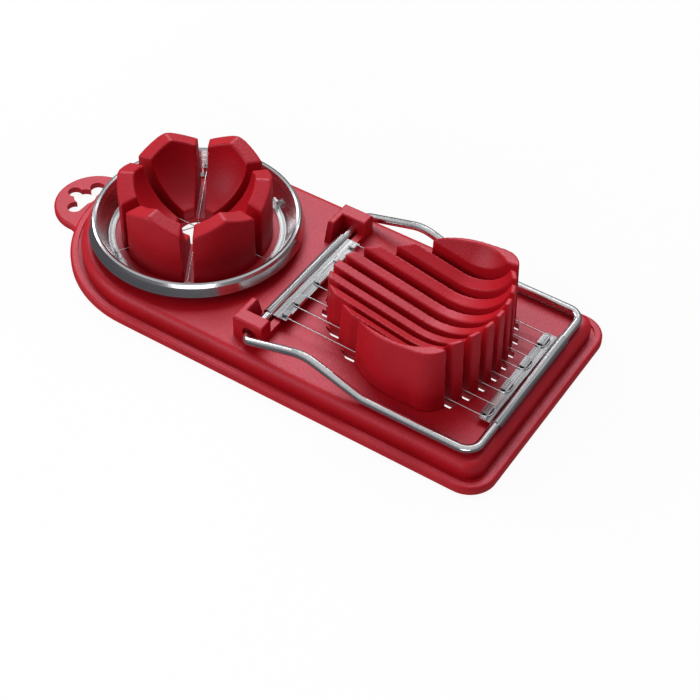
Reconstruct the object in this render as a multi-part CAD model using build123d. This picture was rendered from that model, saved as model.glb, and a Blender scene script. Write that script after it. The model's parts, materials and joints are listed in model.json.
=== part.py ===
"""Two-in-one egg slicer: a red moulded base with a wedge cup and a slicing
cradle, a hinged wire frame over the cradle and a lift-off wire ring round
the cup.  Millimetres, +Z up, origin under the middle of the overall box,
X along the length (hanging tab at -X, slicer end at +X).
"""
from build123d import *
from math import cos, radians, sin, tan
import os

os.makedirs("parts", exist_ok=True)

# ---------------------------------------------------------------- base plate
overall_length = 200.0      # hanging tab to slicer end
base_width = 90.0
tab_reach = 14.3            # how far the hanging tab stands out of the round end
base_corner = 9.7           # plan corners at the slicer end
least_corner = 2.0          # smallest plan corner of any inset outline
flange_height = 3.0         # low rim all round
flange_round = 1.0
ledge_width = 4.2           # flat ledge between rim edge and raised deck
deck_height = 8.5           # top of the raised deck
deck_round = 3.0            # rounded shoulder of the deck
groove_width = 1.6          # shadow groove at the foot of the deck wall
groove_depth = 0.7
base_wall = 2.2             # moulded wall, open underneath
flange_floor = 2.0          # thickness left in the rim
overshoot = 2.0             # how far cutting shapes run past the material

# --------------------------------------------------------------- hanging tab
tab_radius = 15.0
tab_shift = 2.6             # the tab stands this far to the near side of the middle line
tab_height = 2.3            # a little lower than the rim
tab_blend = 4.0             # concave corner where the tab meets the round end
lobe_nose_radius = 2.5      # three-lobed hanging hole
lobe_nose_reach = 4.6
lobe_side_radius = 2.7
lobe_side_reach = 6.5
lobe_side_shift = 0.6       # side lobes sit this much towards the base
lobe_hub_radius = 4.0
hole_from_tip = 10.0        # hub of the hanging hole, from the tip of the tab

# ------------------------------------------------------------------ wedge cup
cup_from_round_end = 45.0   # cup centre, from the round end of the base
petal_count = 6
petal_radius = 26.5         # outer wall of the six petals
petal_corner_height = 28.0  # petal top beside a slot, above the table
petal_peak_height = 34.0    # petal top in its middle
petal_slot = 3.2            # slot between two petals
petal_draft = 1.2           # degrees, slots widen upwards
cup_radius = 20.5           # hollow that holds the egg
cup_centre_height = 32.0
cup_hole_radius = 7.0       # through hole in the middle
rim_bevel = 2.6             # bevelled band along a petal's outer top
petal_round = 0.6           # softened top edges of a petal

# ------------------------------------------------------------ slicing cradle
wire_count = 8
wire_pitch = 6.15
wire_slot = 2.5             # gap between two ribs
cradle_from_end = 19.4      # slicer end of the base to the cradle's far side
cradle_length = 64.1
end_rib = 7.7               # end ribs run this far beyond the outermost wires
cradle_nose_radius = 16.0
cradle_flare = 32.0         # degrees, straight flank between nose and shoulder
cradle_shoulder_radius = 27.6
cradle_bow = 6.5            # how far the far side bows out in its middle
cradle_corner_width = 8.0   # far corners, across the cradle
cradle_corner_length = 8.1  # far corners, along the cradle
cradle_draft = 2.0          # degrees
cap_left_height = 23.5      # top of the ribs, rising in a shallow arc
cap_mid_height = 30.8
cap_right_height = 34.8
cap_overhang = 4.0          # the arc's ends lie this far beyond the ribs
egg_from_end = 43.5         # egg-shaped hollow across the ribs
egg_height = 39.0
egg_radius = 22.0
egg_half_length = 28.5
egg_slope = 10.8            # degrees, run-out of the hollow towards the hinge
slot_margin = 1.4           # slots through the deck pass the ribs by this much

# ---------------------------------------------------------------- wire frame
rod = 3.0                   # bent rod of the slicing frame
frame_length = 86.4         # pivot to far bar, centre lines
frame_from_end = 8.2        # far bar, from the slicer end of the base
frame_from_side = 8.2       # side arms, from the sides of the base
pivot_height = 11.4
frame_rest_gap = 0.15       # far holder over the deck when closed
hump_reach = 23.6           # from the pivot
hump_height = 18.1
foot_reach = 46.1           # where the side arms come down to the deck
hump_bend = 14.0
foot_bend = 12.0
frame_corner = 5.0
hinge_corner = 2.6          # tight bend just outside each hinge block

# ------------------------------------------------------------- wire holders
sheet = 0.5                 # folded stainless sheet
crimp_gap = 0.05            # sheet to rod
holder_margin = 1.1         # holder beyond the outermost wires
hinge_holder_reach = 6.9    # rod centre to the edge that faces the wires
far_holder_reach = 6.3
flange_bite = 0.1           # the flange starts this far inside the roll
wire = 0.4
wire_play = 0.03
wire_left_height = 12.6     # wires slope gently down to the far holder
wire_right_height = 10.9
tab_width = 4.6
tab_length = 2.6
end_tab_width = 2.2
end_tab_gap = 0.35          # end tabs, from the middle of the outermost wires
turn_lead = 0.02            # straight ends of each wire turn

# ---------------------------------------------------------------- hinge block
block_behind = 6.4          # block behind and ahead of the pivot
block_ahead = 5.0
block_width = 5.3
block_from_arm = 2.9        # outer face, from the side arm's centre line
block_height = 8.0          # above the deck
block_round = 0.7
bore_play = 0.06            # radial, rod in the hinge blocks
back_wall = 2.4             # rear wall, reaching inwards from the block
back_wall_top_reach = 5.8   # its inner edge slopes out towards the deck
back_wall_foot_reach = 8.2
lip_length = 2.5            # low lip in front of the rod
lip_height = 2.8
lip_reach = 6.0
rod_notch = 1.2             # relief round the rod on the outer face

# ---------------------------------------------------------------- wedger ring
ring_sheet = 0.6
ring_gap = 2.3              # petals to the ring's foot
ring_foot_width = 2.5
ring_wall_spread = 4.1      # foot to crest, in plan
ring_skirt_spread = 2.3     # crest to the edge of the skirt, in plan
ring_crest_height = 16.9
ring_bead = 0.7             # rolled crest, half its width
ring_skirt_height = 12.4
ring_seat_gap = 0.06        # ring foot over the deck
ring_wire = 0.4
wedge_wire_height = 10.3
wedge_wire_step = 0.56      # three wires cross one above the other
lug_inset = 1.0             # six small lugs hold the wire ends, set in from the foot's edge
lug_width = 2.4
lug_head = 0.9              # lug above the wire it holds
lug_play = 0.02
knot_radius = 0.45

# -------------------------------------------------------------- worked out
base_right = overall_length / 2
base_half = base_width / 2
tab_tip = -overall_length / 2
base_left = tab_tip + tab_reach
round_x = base_left + base_half
cup_x = base_left + cup_from_round_end
hole_x = tab_tip + hole_from_tip
tab_x = tab_tip + tab_radius
cradle_right = base_right - cradle_from_end
cradle_left = cradle_right - cradle_length
cradle_mid = (cradle_left + cradle_right) / 2
egg_x = base_right - egg_from_end
frame_half_width = base_half - frame_from_side
frame_end_x = base_right - frame_from_end
pivot_x = frame_end_x - frame_length
wire_ys = [(i - (wire_count - 1) / 2) * wire_pitch for i in range(wire_count)]
holder_half_length = wire_ys[-1] + holder_margin
cradle_half_width = wire_ys[-1] + end_rib
holder_radius = rod / 2 + crimp_gap + sheet
frame_end_height = deck_height + holder_radius + frame_rest_gap
far_edge_x = frame_end_x - far_holder_reach
hinge_edge_x = pivot_x + hinge_holder_reach
wire_rise = (wire_left_height - wire_right_height) / (far_edge_x - hinge_edge_x)
block_outer = frame_half_width - block_from_arm
block_inner = block_outer - block_width
petal_step = 360 / petal_count
ring_foot_inner = petal_radius + ring_gap
ring_foot_outer = ring_foot_inner + ring_foot_width
ring_crest_radius = ring_foot_outer + ring_wall_spread
ring_skirt_radius = ring_crest_radius + ring_skirt_spread
lug_radius = ring_foot_outer - lug_inset


def wire_height(x):
    """Centre height of the slicing wires above the table at x."""
    return wire_left_height - wire_rise * (x - hinge_edge_x)


def write(node, shape):
    """One STEP file per named node."""
    shape.label = node
    export_step(shape, f"parts/{node}.step")


def closed_face(*edges):
    return make_face(Wire(edges))


def box_between(low, high):
    """Box from its lowest to its highest corner."""
    size = [b - a for a, b in zip(low, high)]
    middle = [(a + b) / 2 for a, b in zip(low, high)]
    return Pos(*middle) * Box(*size)


def across(x, z, radius, low_y, high_y):
    """Cylinder along Y between two y values."""
    return Pos(x, (low_y + high_y) / 2, z) * Rot(90, 0, 0) * Cylinder(radius, high_y - low_y)


def arc_by_centre(centre, radius, start, turn):
    """Arc from its centre, start angle and turn in degrees."""
    def at(angle):
        return (centre[0] + radius * cos(radians(angle)), centre[1] + radius * sin(radians(angle)))
    return ThreePointArc(at(start), at(start + turn / 2), at(start + turn))


# ================================================================ base plate
def base_outline(inset):
    """Plan of the base: round at the cup, rounded corners at the slicer end."""
    half = base_half - inset
    right = base_right - inset
    corner = max(base_corner - inset, least_corner)
    upper = arc_by_centre((right - corner, half - corner), corner, 0, 90)
    lower = arc_by_centre((right - corner, corner - half), corner, -90, 90)
    round_end = arc_by_centre((round_x, 0), half, 90, 180)
    return closed_face(
        Line(lower @ 1, upper @ 0), upper, Line(upper @ 1, round_end @ 0),
        round_end, Line(round_end @ 1, lower @ 0), lower)


def hanging_hole():
    """Three round lobes joined by a hub, with a straight side towards the base."""
    hole = Circle(lobe_hub_radius)
    hole += Pos(-lobe_nose_reach, 0) * Circle(lobe_nose_radius)
    for side in (1, -1):
        hole += Pos(lobe_side_shift, side * lobe_side_reach) * Circle(lobe_side_radius)
    straight_side = lobe_side_shift + lobe_side_radius
    hole += Pos(straight_side / 2, 0) * Rectangle(straight_side, 2 * lobe_side_reach)
    return Pos(hole_x, -tab_shift) * hole


def cradle_outline(margin=0.0):
    """Plan of the cradle: narrow nose at the hinge, broad bowed far side."""
    half = cradle_half_width + margin
    right = cradle_right + margin
    nose = cradle_nose_radius + margin
    shoulder = cradle_shoulder_radius + margin
    turn = 90 - cradle_flare
    nose_x = cradle_left - margin + nose
    flank_x = nose_x - nose * sin(radians(cradle_flare))
    flank_y = nose * cos(radians(cradle_flare))
    shoulder_y = half - shoulder
    crown_y = shoulder_y + shoulder * cos(radians(cradle_flare))
    crown_x = flank_x + (crown_y - flank_y) / tan(radians(cradle_flare))
    shoulder_x = crown_x + shoulder * sin(radians(cradle_flare))
    crown_angle = radians(90 + cradle_flare / 2)
    end_x = right - cradle_bow
    end_y = half - cradle_corner_width

    def side(sign):
        flank = Line((flank_x, sign * flank_y), (crown_x, sign * crown_y))
        crown = ThreePointArc(
            flank @ 1,
            (shoulder_x + shoulder * cos(crown_angle),
             sign * (shoulder_y + shoulder * sin(crown_angle))),
            (shoulder_x, sign * half))
        straight = Line(crown @ 1, (end_x - cradle_corner_length, sign * half))
        corner = TangentArc(straight @ 1, (end_x, sign * end_y), tangent=(1, 0))
        return [flank, crown, straight, corner]

    upper = side(1)
    lower = side(-1)
    nose_arc = arc_by_centre((nose_x, 0), nose, 180 - turn, 2 * turn)
    far_arc = ThreePointArc(lower[-1] @ 1, (right, 0), upper[-1] @ 1)
    return closed_face(*upper, *lower, nose_arc, far_arc)


def moulding():
    """Rim, raised deck and hanging tab, hollow underneath."""
    outline = base_outline(0) + Pos(tab_x, -tab_shift) * Circle(tab_radius)
    meeting = [v for v in outline.vertices() if v.X < round_x - 1]
    tab_plate = extrude(fillet(meeting, tab_blend), tab_height)
    tab_plate = fillet(tab_plate.edges().group_by(Axis.Z)[-1], flange_round)
    rim = extrude(base_outline(0), flange_height)
    rim = fillet(rim.edges().group_by(Axis.Z)[-1], flange_round) + tab_plate
    groove = base_outline(ledge_width - groove_width) - base_outline(ledge_width + overshoot)
    rim -= Pos(0, 0, flange_height - groove_depth) * extrude(groove, groove_depth + overshoot)
    deck = extrude(base_outline(ledge_width), deck_height)
    deck = fillet(deck.edges().group_by(Axis.Z)[-1], deck_round)
    body = rim + deck
    body -= extrude(base_outline(base_wall), flange_height - flange_floor)
    body -= extrude(base_outline(ledge_width + base_wall), deck_height - base_wall)
    body -= Pos(0, 0, -overshoot) * extrude(hanging_hole(), flange_height + 2 * overshoot)
    body -= Pos(cup_x, 0, deck_height / 2) * Cylinder(cup_hole_radius, deck_height + overshoot)
    openings = extrude(cradle_outline(slot_margin), deck_height + overshoot)
    for y in wire_ys:
        slab = box_between((cradle_left - overshoot, y - wire_slot / 2, -overshoot),
                           (cradle_right + overshoot, y + wire_slot / 2, deck_height + overshoot))
        body -= openings & slab
    return body


def tab_region():
    """Everything outside the round end of the base, at the tab."""
    reach = 2 * tab_radius
    block = box_between((tab_tip - overshoot, -reach, -overshoot),
                        (round_x - base_half / 2, reach, deck_height))
    return block - Pos(round_x, 0, 0) * Cylinder(base_half, 2 * deck_height + overshoot)


# ================================================================= wedge cup
def slot_side(side):
    """What lies beyond one side wall of a petal that points along +X."""
    spread = tan(radians(petal_draft)) * (petal_peak_height - deck_height)
    low = petal_slot / 2
    high = low + spread
    depth = 2 * petal_radius
    section = Polyline(
        (low, deck_height), (high, petal_peak_height),
        (-depth, petal_peak_height), (-depth, deck_height), close=True)
    prism = extrude(Plane.YZ * make_face(section), depth)
    prism = Pos(-depth / 4, 0, 0) * prism
    if side < 0:
        prism = mirror(prism, about=Plane.XZ)
    return Rot(0, 0, -side * petal_step / 2) * prism


def petal_roof():
    """What lies above the gabled top of a petal that points along +X."""
    fall = petal_peak_height - petal_corner_height
    half_chord = petal_radius * sin(radians(petal_step / 2))
    section = Polyline(
        (0, petal_peak_height), (half_chord, petal_corner_height),
        (2 * half_chord, petal_corner_height - fall),
        (2 * half_chord, petal_peak_height + overshoot), (-2 * half_chord, petal_peak_height + overshoot),
        (-2 * half_chord, petal_corner_height - fall), (-half_chord, petal_corner_height), close=True)
    return extrude(Plane.YZ * make_face(section), 2 * petal_radius)


def petal(index):
    """One wedge petal: gabled top, hollow inside, slots on both sides."""
    height = petal_peak_height - deck_height
    mid_height = deck_height + height / 2
    body = Pos(0, 0, mid_height) * Cylinder(petal_radius, height)
    body &= box_between((0, -petal_radius, 0), (petal_radius, petal_radius, petal_peak_height))
    body -= Pos(0, 0, mid_height) * Cylinder(cup_hole_radius, height + overshoot)
    body -= Pos(0, 0, cup_centre_height) * Sphere(cup_radius)
    body -= petal_roof()
    for side in (1, -1):
        body -= slot_side(side)
        bevel = Pos(petal_radius, 0, petal_peak_height) * Rot(0, 45, 0) * Box(
            rim_bevel, 2 * petal_radius, rim_bevel)
        body -= Rot(0, 0, side * petal_step / 4) * bevel
    tops = [e for e in body.edges() if min(v.Z for v in e.vertices()) > petal_corner_height - rim_bevel]
    body = fillet(tops, petal_round)
    return Pos(cup_x, 0, 0) * Rot(0, 0, (index + 1 / 2) * petal_step) * body


# ============================================================ slicing cradle
def cradle_block():
    """The whole cradle before it is slotted."""
    height = cap_right_height - deck_height + overshoot
    lean = height * tan(radians(cradle_draft))
    block = loft([Pos(0, 0, deck_height) * cradle_outline(),
                  Pos(0, 0, deck_height + height) * cradle_outline(-lean)], ruled=True)
    left = cradle_left - cap_overhang
    right = cradle_right + cap_overhang
    ceiling = cap_right_height + 2 * overshoot
    arc = ThreePointArc((left, cap_left_height), (cradle_mid, cap_mid_height), (right, cap_right_height))
    above = closed_face(arc, Line(arc @ 1, (right, ceiling)), Line((right, ceiling), (left, ceiling)),
                        Line((left, ceiling), arc @ 0))
    return block - extrude(Plane.XZ * above, cradle_half_width + overshoot, both=True)


def egg_hollow():
    """Egg lying across the ribs, run out in a slope towards the hinge."""
    half = EllipticalCenterArc((0, 0), egg_radius, egg_half_length, start_angle=-90, arc_size=180)
    egg = revolve(closed_face(half, Line(half @ 1, half @ 0)), Axis.Y)
    run_out = extrude(Plane.YZ * Ellipse(egg_half_length, egg_radius), -cradle_length)
    egg += Rot(0, egg_slope, 0) * run_out
    egg += extrude(Ellipse(egg_radius, egg_half_length), egg_height)
    return Pos(egg_x, 0, egg_height) * egg


def cradle_ribs():
    """Ribs from the near side to the far side; the far ones mirror the near ones."""
    block = cradle_block() - egg_hollow()
    edge = cradle_half_width + overshoot
    lows = [-edge] + [y + wire_slot / 2 for y in wire_ys]
    highs = [y - wire_slot / 2 for y in wire_ys] + [edge]
    ribs = []
    for low, high in zip(lows[:wire_count // 2 + 1], highs):
        slab = box_between((cradle_left - overshoot, low, 0),
                           (cradle_right + overshoot, high, 2 * cap_right_height))
        ribs.append(block & slab)
    ribs += [mirror(rib, about=Plane.XZ) for rib in ribs[wire_count // 2 - 1::-1]]
    return ribs


# ============================================================== hinge blocks
def hinge_block(side):
    """Block on the deck that carries the frame's pivot, with a rear wall and
    a low lip in front that reach inwards."""
    back = pivot_x - block_behind
    front = pivot_x + block_ahead
    top = deck_height + block_height
    block = box_between((back, block_inner, deck_height), (front, block_outer, top))
    wing_section = Polyline(
        (block_inner, deck_height), (block_inner, top), (block_inner - back_wall_top_reach, top),
        (block_inner - back_wall_foot_reach, deck_height), close=True)
    block += Pos(back, 0, 0) * extrude(Plane.YZ * make_face(wing_section), back_wall)
    block = fillet(block.edges().group_by(Axis.Z)[-1], block_round)
    block += box_between((front - lip_length, block_inner - lip_reach, deck_height),
                         (front, block_inner, deck_height + lip_height))
    block -= across(pivot_x, pivot_height, rod / 2 + bore_play,
                    block_inner - overshoot, block_outer + overshoot)
    block -= across(pivot_x, pivot_height, rod / 2 + rod_notch,
                    block_outer - rod_notch, block_outer + overshoot)
    if side < 0:
        block = mirror(block, about=Plane.XZ)
    return block


# ================================================================ wire frame
def frame_rod():
    """Closed loop of rod: pivot bar, two humped side arms and the far bar."""
    y = frame_half_width
    points = [
        (pivot_x, 0, pivot_height),
        (pivot_x, y, pivot_height),
        (pivot_x + hump_reach, y, hump_height),
        (pivot_x + foot_reach, y, frame_end_height),
        (frame_end_x, y, frame_end_height),
        (frame_end_x, 0, frame_end_height)]
    half = FilletPolyline(*points, radius=[hinge_corner, hump_bend, foot_bend, frame_corner])
    section = Plane(origin=points[0], z_dir=(0, 1, 0)) * Circle(rod / 2)
    arm = sweep(section, path=half)
    return arm + mirror(arm, about=Plane.XZ)


def holder(centre_x, centre_z, edge_x, edge_z, tabs):
    """Sheet rolled round the rod, with a flange and folded tabs for the wires."""
    half = holder_half_length
    toward = 1 if edge_x > centre_x else -1
    lower = edge_z - wire / 2 - wire_play - sheet
    upper = edge_z + wire / 2 + wire_play + sheet
    start_x = centre_x + toward * (holder_radius - sheet + flange_bite)

    def slab(x_a, x_b, y_a, y_b, z_a, z_b):
        return box_between((min(x_a, x_b), y_a, z_a), (max(x_a, x_b), y_b, z_b))

    strip = across(centre_x, centre_z, holder_radius, -half, half)
    strip += slab(start_x, edge_x, -half, half, lower, lower + sheet)
    strip -= across(centre_x, centre_z, rod / 2 + crimp_gap, -half - overshoot, half + overshoot)
    for y, width in tabs:
        near = y - width / 2
        far = y + width / 2
        strip += slab(edge_x, edge_x - toward * sheet, near, far, lower, upper)
        strip += slab(edge_x, edge_x - toward * tab_length, near, far, upper - sheet, upper)
    return strip


def tab_middles(first):
    """Middles of the wire pairs that turn round a folded tab."""
    return [(wire_ys[i] + wire_ys[i + 1]) / 2 for i in range(first, wire_count - 1, 2)]


def hinge_holder():
    tabs = [(y, tab_width) for y in tab_middles(1)]
    for outermost, inward in ((wire_ys[0], 1), (wire_ys[-1], -1)):
        tabs.append((outermost + inward * (end_tab_width / 2 + end_tab_gap), end_tab_width))
    return holder(pivot_x, pivot_height, hinge_edge_x, wire_left_height, tabs)


def far_holder():
    tabs = [(y, tab_width) for y in tab_middles(0)]
    return holder(frame_end_x, frame_end_height, far_edge_x, wire_right_height, tabs)


def slicing_wire(index):
    """One straight pass of the wire, holder to holder."""
    y = wire_ys[index]
    start = Vector(hinge_edge_x - sheet, y, wire_height(hinge_edge_x - sheet))
    end = Vector(far_edge_x + sheet, y, wire_height(far_edge_x + sheet))
    run = end - start
    return extrude(Plane(origin=start, z_dir=run) * Circle(wire / 2), run.length)


def wire_turns():
    """The turns of the laced wire round the folded tabs."""
    bend = wire_pitch / 2 - wire
    turns = []
    for edge_x, toward, first in ((far_edge_x, 1, 0), (hinge_edge_x, -1, 1)):
        x = edge_x + toward * sheet
        z = wire_height(x)
        tip = x + toward * (bend + turn_lead)
        for i in range(first, wire_count - 1, 2):
            path = FilletPolyline((x, wire_ys[i], z), (tip, wire_ys[i], z),
                                  (tip, wire_ys[i + 1], z), (x, wire_ys[i + 1], z), radius=bend)
            section = Plane(origin=path @ 0, z_dir=(toward, 0, 0)) * Circle(wire / 2)
            turns.append(sweep(section, path=path))
    return Compound(children=turns)


# =============================================================== wedger ring
def lug(index, height):
    """Small upright lug on the foot of the ring, pierced for a wire end."""
    foot = deck_height + ring_seat_gap
    plate = box_between((lug_radius - ring_sheet / 2, -lug_width / 2, foot),
                        (lug_radius + ring_sheet / 2, lug_width / 2, height + lug_head))
    plate -= Pos(lug_radius, 0, height) * Rot(0, 90, 0) * Cylinder(ring_wire / 2 + lug_play, overshoot)
    return Rot(0, 0, index * petal_step) * plate


def wedge_wire_z(index):
    """Height of the wire in a slot; opposite slots share one wire."""
    return wedge_wire_height + (index % (petal_count // 2)) * wedge_wire_step


def wedger_ring():
    """Pressed stainless ring: flat foot, sloping wall, rolled crest, skirt."""
    t = ring_sheet
    bead = ring_bead
    foot = deck_height + ring_seat_gap
    crest = ring_crest_radius
    top = ring_crest_height
    section = Polyline(
        (ring_foot_inner, foot), (ring_foot_outer, foot),
        (crest - bead, top - 2 * bead), (crest, top - t),
        (crest + bead, top - 2 * bead), (ring_skirt_radius - t, ring_skirt_height),
        (ring_skirt_radius, ring_skirt_height), (crest + bead + t, top - 2 * bead),
        (crest + bead, top - t / 2), (crest, top),
        (crest - bead, top - t / 2), (ring_foot_outer - t / 2, foot + t),
        (ring_foot_inner, foot + t), close=True)
    ring = revolve(Plane.XZ * make_face(section), Axis.Z)
    for index in range(petal_count):
        ring += lug(index, wedge_wire_z(index))
    return Pos(cup_x, 0, 0) * ring


def wedge_wire(index):
    """One wire across the ring, in line with two opposite slots, knotted at
    both ends behind the lugs."""
    knot_x = lug_radius + ring_sheet / 2 + knot_radius
    spoke = Rot(0, 90, 0) * Cylinder(ring_wire / 2, 2 * knot_x)
    for side in (1, -1):
        spoke += Pos(side * knot_x, 0, 0) * Sphere(knot_radius)
    return Pos(cup_x, 0, wedge_wire_z(index)) * Rot(0, 0, index * petal_step) * spoke


def build():
    full = moulding()
    region = tab_region()
    write("base_plate", full - region)
    write("hanging_tab", full & region)
    for side, name in ((-1, "hinge_block_near"), (1, "hinge_block_far")):
        write(name, hinge_block(side))
    for index in range(petal_count):
        write(f"wedge_petal_{index + 1}", petal(index))
    for index, rib in enumerate(cradle_ribs()):
        write(f"cradle_rib_{index + 1}", rib)
    write("frame_rod", frame_rod())
    write("hinge_wire_holder", hinge_holder())
    write("far_wire_holder", far_holder())
    for index in range(wire_count):
        write(f"slicing_wire_{index + 1}", slicing_wire(index))
    write("wire_turns", wire_turns())
    write("wedger_ring", wedger_ring())
    for index in range(petal_count // 2):
        write(f"wedge_wire_{index + 1}", wedge_wire(index))


build()
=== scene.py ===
"""Looks of the egg slicer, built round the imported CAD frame.  Metres, the CAD's
own frame: +X to the slicer end, +Z up, near side at -Y."""
import json
from math import radians

import bpy
from mathutils import Matrix, Vector

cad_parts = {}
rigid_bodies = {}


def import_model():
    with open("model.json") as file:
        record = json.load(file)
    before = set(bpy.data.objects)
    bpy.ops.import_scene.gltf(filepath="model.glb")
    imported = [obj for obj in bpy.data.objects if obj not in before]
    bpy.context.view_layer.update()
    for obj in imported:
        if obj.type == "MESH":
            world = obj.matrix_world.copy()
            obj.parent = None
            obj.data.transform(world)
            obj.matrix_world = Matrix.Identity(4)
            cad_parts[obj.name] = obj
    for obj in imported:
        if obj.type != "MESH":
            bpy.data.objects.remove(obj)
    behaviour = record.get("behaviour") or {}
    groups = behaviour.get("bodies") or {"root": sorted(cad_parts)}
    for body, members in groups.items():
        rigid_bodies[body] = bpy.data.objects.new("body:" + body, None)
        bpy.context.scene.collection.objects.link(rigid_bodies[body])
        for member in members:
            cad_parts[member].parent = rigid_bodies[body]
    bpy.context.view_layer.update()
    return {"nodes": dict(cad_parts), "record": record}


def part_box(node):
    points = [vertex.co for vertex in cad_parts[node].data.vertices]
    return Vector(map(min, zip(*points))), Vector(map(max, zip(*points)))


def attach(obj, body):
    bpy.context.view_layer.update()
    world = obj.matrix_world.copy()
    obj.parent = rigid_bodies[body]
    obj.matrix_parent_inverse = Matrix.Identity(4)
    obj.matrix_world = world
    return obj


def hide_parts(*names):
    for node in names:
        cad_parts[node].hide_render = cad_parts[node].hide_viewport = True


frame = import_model()
nodes = frame["nodes"]

# --------------------------------------------------------------- materials
mottle_scale = 60           # slow change of colour over the moulding
grain_scale = 1200          # moulded grain, just under a millimetre
grain_height = 0.00012
drawing_scale = 1300        # drawing lines in the steel
drawing_height = 0.00003
cloud_scale = 120           # slow change of polish over the steel


def new_material(name):
    """Empty node material and its shader."""
    material = bpy.data.materials.new(name)
    material.use_nodes = True
    shader = material.node_tree.nodes["Principled BSDF"]
    return material, material.node_tree, shader


def noise(tree, scale, detail=4.0, stretch=(1, 1, 1), vector=None):
    """Noise in object coordinates, so it stays with the piece as it moves."""
    if vector is None:
        vector = tree.nodes.new("ShaderNodeTexCoord").outputs["Object"]
    mapping = tree.nodes.new("ShaderNodeMapping")
    mapping.inputs["Scale"].default_value = stretch
    texture = tree.nodes.new("ShaderNodeTexNoise")
    texture.inputs["Scale"].default_value = scale
    texture.inputs["Detail"].default_value = detail
    tree.links.new(vector, mapping.inputs["Vector"])
    tree.links.new(mapping.outputs["Vector"], texture.inputs["Vector"])
    return texture.outputs["Fac"]


def ramp(tree, value, low, high, low_at=0.3, high_at=0.7):
    """Colour ramp between two colours."""
    node = tree.nodes.new("ShaderNodeValToRGB")
    node.color_ramp.elements[0].position = low_at
    node.color_ramp.elements[0].color = low
    node.color_ramp.elements[1].position = high_at
    node.color_ramp.elements[1].color = high
    tree.links.new(value, node.inputs["Fac"])
    return node.outputs["Color"]


def span(tree, value, low, high):
    """Map 0..1 to low..high."""
    node = tree.nodes.new("ShaderNodeMapRange")
    node.inputs["To Min"].default_value = low
    node.inputs["To Max"].default_value = high
    tree.links.new(value, node.inputs["Value"])
    return node.outputs["Result"]


def bump(tree, shader, height, strength, distance):
    """Fine relief, its full height given in metres."""
    node = tree.nodes.new("ShaderNodeBump")
    node.inputs["Strength"].default_value = strength
    node.inputs["Distance"].default_value = distance
    tree.links.new(height, node.inputs["Height"])
    tree.links.new(node.outputs["Normal"], shader.inputs["Normal"])


def red_plastic():
    """Fine-grained satin red moulding."""
    material, tree, shader = new_material("red_plastic")
    mottle = noise(tree, mottle_scale, 3)
    tree.links.new(ramp(tree, mottle, (0.34, 0.002, 0.006, 1), (0.40, 0.003, 0.009, 1)),
                   shader.inputs["Base Color"])
    grain = noise(tree, grain_scale, 2)
    tree.links.new(span(tree, grain, 0.36, 0.56), shader.inputs["Roughness"])
    bump(tree, shader, grain, 0.8, grain_height)
    shader.inputs["Specular IOR Level"].default_value = 0.34
    shader.inputs["Specular Tint"].default_value = (0.82, 0.78, 1.0, 1)
    return material


def round_about(tree, centre):
    """Coordinates that run outwards and up, the same all the way round a centre."""
    coords = tree.nodes.new("ShaderNodeTexCoord")
    shift = tree.nodes.new("ShaderNodeMapping")
    shift.inputs["Location"].default_value = (-centre[0], -centre[1], 0)
    parts = tree.nodes.new("ShaderNodeSeparateXYZ")
    plan = tree.nodes.new("ShaderNodeCombineXYZ")
    reach = tree.nodes.new("ShaderNodeVectorMath")
    reach.operation = "LENGTH"
    joined = tree.nodes.new("ShaderNodeCombineXYZ")
    tree.links.new(coords.outputs["Object"], shift.inputs["Vector"])
    tree.links.new(shift.outputs["Vector"], parts.inputs["Vector"])
    tree.links.new(parts.outputs["X"], plan.inputs["X"])
    tree.links.new(parts.outputs["Y"], plan.inputs["Y"])
    tree.links.new(plan.outputs["Vector"], reach.inputs[0])
    tree.links.new(reach.outputs["Value"], joined.inputs["X"])
    tree.links.new(parts.outputs["Z"], joined.inputs["Z"])
    return joined.outputs["Vector"]


def steel(name, dark, bright, rough, depth, stretch=(1, 1, 1), centre=None):
    """Stainless steel with drawing lines along a strip or round a centre."""
    material, tree, shader = new_material(name)
    shader.inputs["Metallic"].default_value = 1.0
    vector = round_about(tree, centre) if centre else None
    lines = noise(tree, drawing_scale, 3, stretch, vector)
    tree.links.new(ramp(tree, lines, dark, bright), shader.inputs["Base Color"])
    tree.links.new(span(tree, noise(tree, cloud_scale, 2), *rough), shader.inputs["Roughness"])
    bump(tree, shader, lines, depth, drawing_height)
    return material


red = red_plastic()
ring_low, ring_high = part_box("wedger_ring")
ring_centre = [(a + b) / 2 for a, b in zip(ring_low, ring_high)]
rod_steel = steel("rod_steel", (0.66, 0.665, 0.68, 1), (0.84, 0.84, 0.85, 1), (0.14, 0.2), 0.03)
strip_steel = steel("strip_steel", (0.28, 0.285, 0.30, 1), (0.80, 0.80, 0.81, 1), (0.16, 0.26),
                    0.25, stretch=(1, 0.02, 1))
ring_steel = steel("ring_steel", (0.42, 0.425, 0.44, 1), (0.80, 0.80, 0.81, 1), (0.16, 0.26),
                   0.2, centre=ring_centre)
steel_of = {"hinge_wire_holder": strip_steel, "far_wire_holder": strip_steel, "wedger_ring": ring_steel}
for part in frame["record"]["subparts"]:
    node = nodes[part["node"]]
    node.data.materials.clear()
    finish = red if part["material_slot"] == "red_plastic" else steel_of.get(part["node"], rod_steel)
    node.data.materials.append(finish)

# ------------------------------------------------------ softened mouldings
voxel = 0.00035
soften_rounds = 9
foot_band = 0.0008          # the foot of a moulding stays sharp where it meets the deck
kept_share = 0.3            # of the remeshed faces


def applied(piece):
    """Give the piece the mesh that its modifiers make."""
    graph = bpy.context.evaluated_depsgraph_get()
    mesh = bpy.data.meshes.new_from_object(piece.evaluated_get(graph))
    piece.modifiers.clear()
    piece.data = mesh
    return mesh


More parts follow.
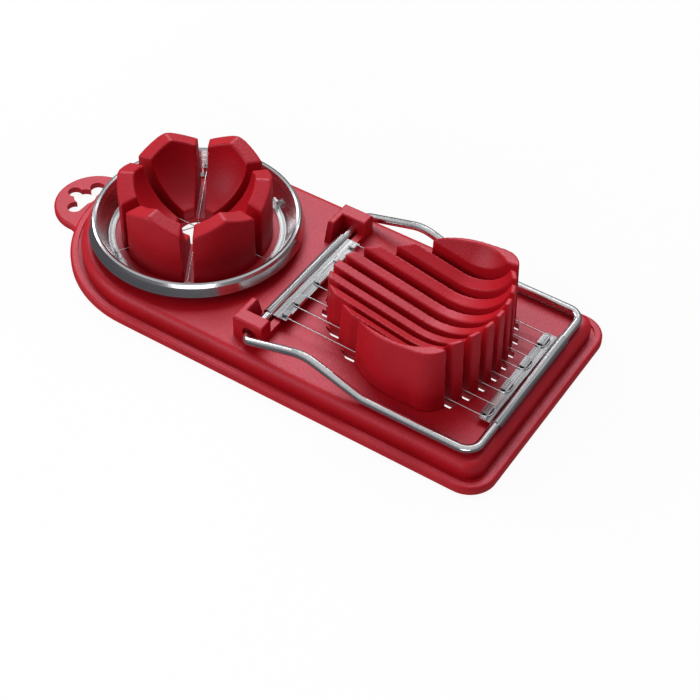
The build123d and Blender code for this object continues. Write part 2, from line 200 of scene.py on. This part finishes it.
def softened(name):
    """A copy of a moulding whose sharp edges are rounded, standing for the CAD node."""
    piece = bpy.data.objects.new(name + "_moulded", nodes[name].data.copy())
    bpy.context.scene.collection.objects.link(piece)
    remesh = piece.modifiers.new("remesh", "REMESH")
    remesh.mode = "VOXEL"
    remesh.voxel_size = voxel
    mesh = applied(piece)
    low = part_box(name)[0][2] + foot_band
    group = piece.vertex_groups.new(name="above_foot")
    group.add([v.index for v in mesh.vertices if v.co.z > low], 1.0, "REPLACE")
    smooth = piece.modifiers.new("smooth", "SMOOTH")
    smooth.factor = 0.5
    smooth.iterations = soften_rounds
    smooth.vertex_group = group.name
    thin = piece.modifiers.new("thin", "DECIMATE")
    thin.ratio = kept_share
    mesh = applied(piece)
    for face in mesh.polygons:
        face.use_smooth = True
    mesh.materials.clear()
    mesh.materials.append(red)
    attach(piece, "base")
    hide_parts(name)


for name in nodes:
    if "rib" in name or "petal" in name:
        softened(name)

# --------------------------------------------------------- floor and light
floor_z = -0.0002
floor_reach = 6.0
floor_glow = 0.9
# name, place, target, size, power
moulding_lights = (
    ("back", (-0.50, 0.78, 1.15), (-0.02, 0, 0), (1.1, 0.9), 23),
    ("left", (-0.75, -0.95, 0.50), (0, 0, 0.02), (0.8, 0.8), 9))
metal_lights = (
    ("strip_far", (-0.40, 1.00, 0.85), (0, 0, 0), (1.2, 0.10), 1.2),
    ("strip_high", (-0.30, 0.60, 1.25), (0, 0, 0), (1.2, 0.16), 1.1),
    ("strip_left", (-1.00, 0.10, 0.60), (0, 0, 0), (0.9, 0.20), 2.6),
    ("strip_near", (0.50, -0.90, 0.35), (0, 0, 0), (0.8, 0.20), 2.2))


def floor():
    """Pale floor that gives light itself and is mirrored in nothing."""
    mesh = bpy.data.meshes.new("floor")
    far = floor_reach
    corners = [(-far, -far, floor_z), (far, -far, floor_z), (far, far, floor_z), (-far, far, floor_z)]
    mesh.from_pydata(corners, [], [(0, 1, 2, 3)])
    piece = bpy.data.objects.new("floor", mesh)
    bpy.context.scene.collection.objects.link(piece)
    material, tree, shader = new_material("floor")
    grey = ramp(tree, noise(tree, 3, 2), (0.12, 0.12, 0.12, 1), (0.14, 0.14, 0.14, 1))
    tree.links.new(grey, shader.inputs["Base Color"])
    shader.inputs["Roughness"].default_value = 0.8
    shader.inputs["Specular IOR Level"].default_value = 0.0
    shader.inputs["Emission Color"].default_value = (1, 1, 1, 1)
    shader.inputs["Emission Strength"].default_value = floor_glow
    mesh.materials.append(material)
    piece.visible_glossy = False


def area_light(name, place, target, size, power):
    """Rectangular soft light aimed at a point."""
    data = bpy.data.lights.new(name, "AREA")
    data.shape = "RECTANGLE"
    data.size, data.size_y = size
    data.energy = power
    light = bpy.data.objects.new(name, data)
    bpy.context.scene.collection.objects.link(light)
    light.location = place
    aim = Vector(target) - Vector(place)
    light.rotation_euler = aim.to_track_quat("-Z", "Y").to_euler()
    return light


def studio():
    """Soft grey sky, with lights of their own for the mouldings and for the steel and floor."""
    world = bpy.data.worlds.new("studio")
    bpy.context.scene.world = world
    world.use_nodes = True
    tree = world.node_tree
    coords = tree.nodes.new("ShaderNodeTexCoord")
    parts = tree.nodes.new("ShaderNodeSeparateXYZ")
    tree.links.new(coords.outputs["Generated"], parts.inputs["Vector"])
    sky = ramp(tree, parts.outputs["Z"], (0.10, 0.10, 0.11, 1), (0.62, 0.62, 0.63, 1), 0.0, 0.9)
    tree.links.new(sky, tree.nodes["Background"].inputs["Color"])
    mouldings = bpy.data.collections.new("mouldings")
    metal = bpy.data.collections.new("metal")
    lit_by = ((mouldings, moulding_lights), (metal, metal_lights))
    for group, lights in lit_by:
        for settings in lights:
            area_light(*settings).light_linking.receiver_collection = group
    for piece in bpy.data.objects:
        if piece.type == "MESH" and piece.data.materials:
            group = mouldings if piece.data.materials[0] == red else metal
            group.objects.link(piece)


floor()
studio()
bpy.context.scene.view_settings.view_transform = "Standard"

# ------------------------------------------------------------------ camera
lens = 86.2
sensor = 36.0
camera_place = (0.2358, -0.3439, 0.4037)
camera_turn = 31.68
camera_down = 45.97
camera_roll = 1.74


def camera():
    """Camera from its place, turn, downward tilt and roll."""
    data = bpy.data.cameras.new("camera")
    data.lens = lens
    data.sensor_width = sensor
    piece = bpy.data.objects.new("camera", data)
    bpy.context.scene.collection.objects.link(piece)
    turn = Matrix.Rotation(radians(camera_turn), 4, "Z")
    tilt = Matrix.Rotation(radians(90 - camera_down), 4, "X")
    roll = Matrix.Rotation(radians(camera_roll), 4, "Z")
    piece.matrix_world = Matrix.Translation(camera_place) @ turn @ tilt @ roll
    bpy.context.scene.camera = piece


camera()
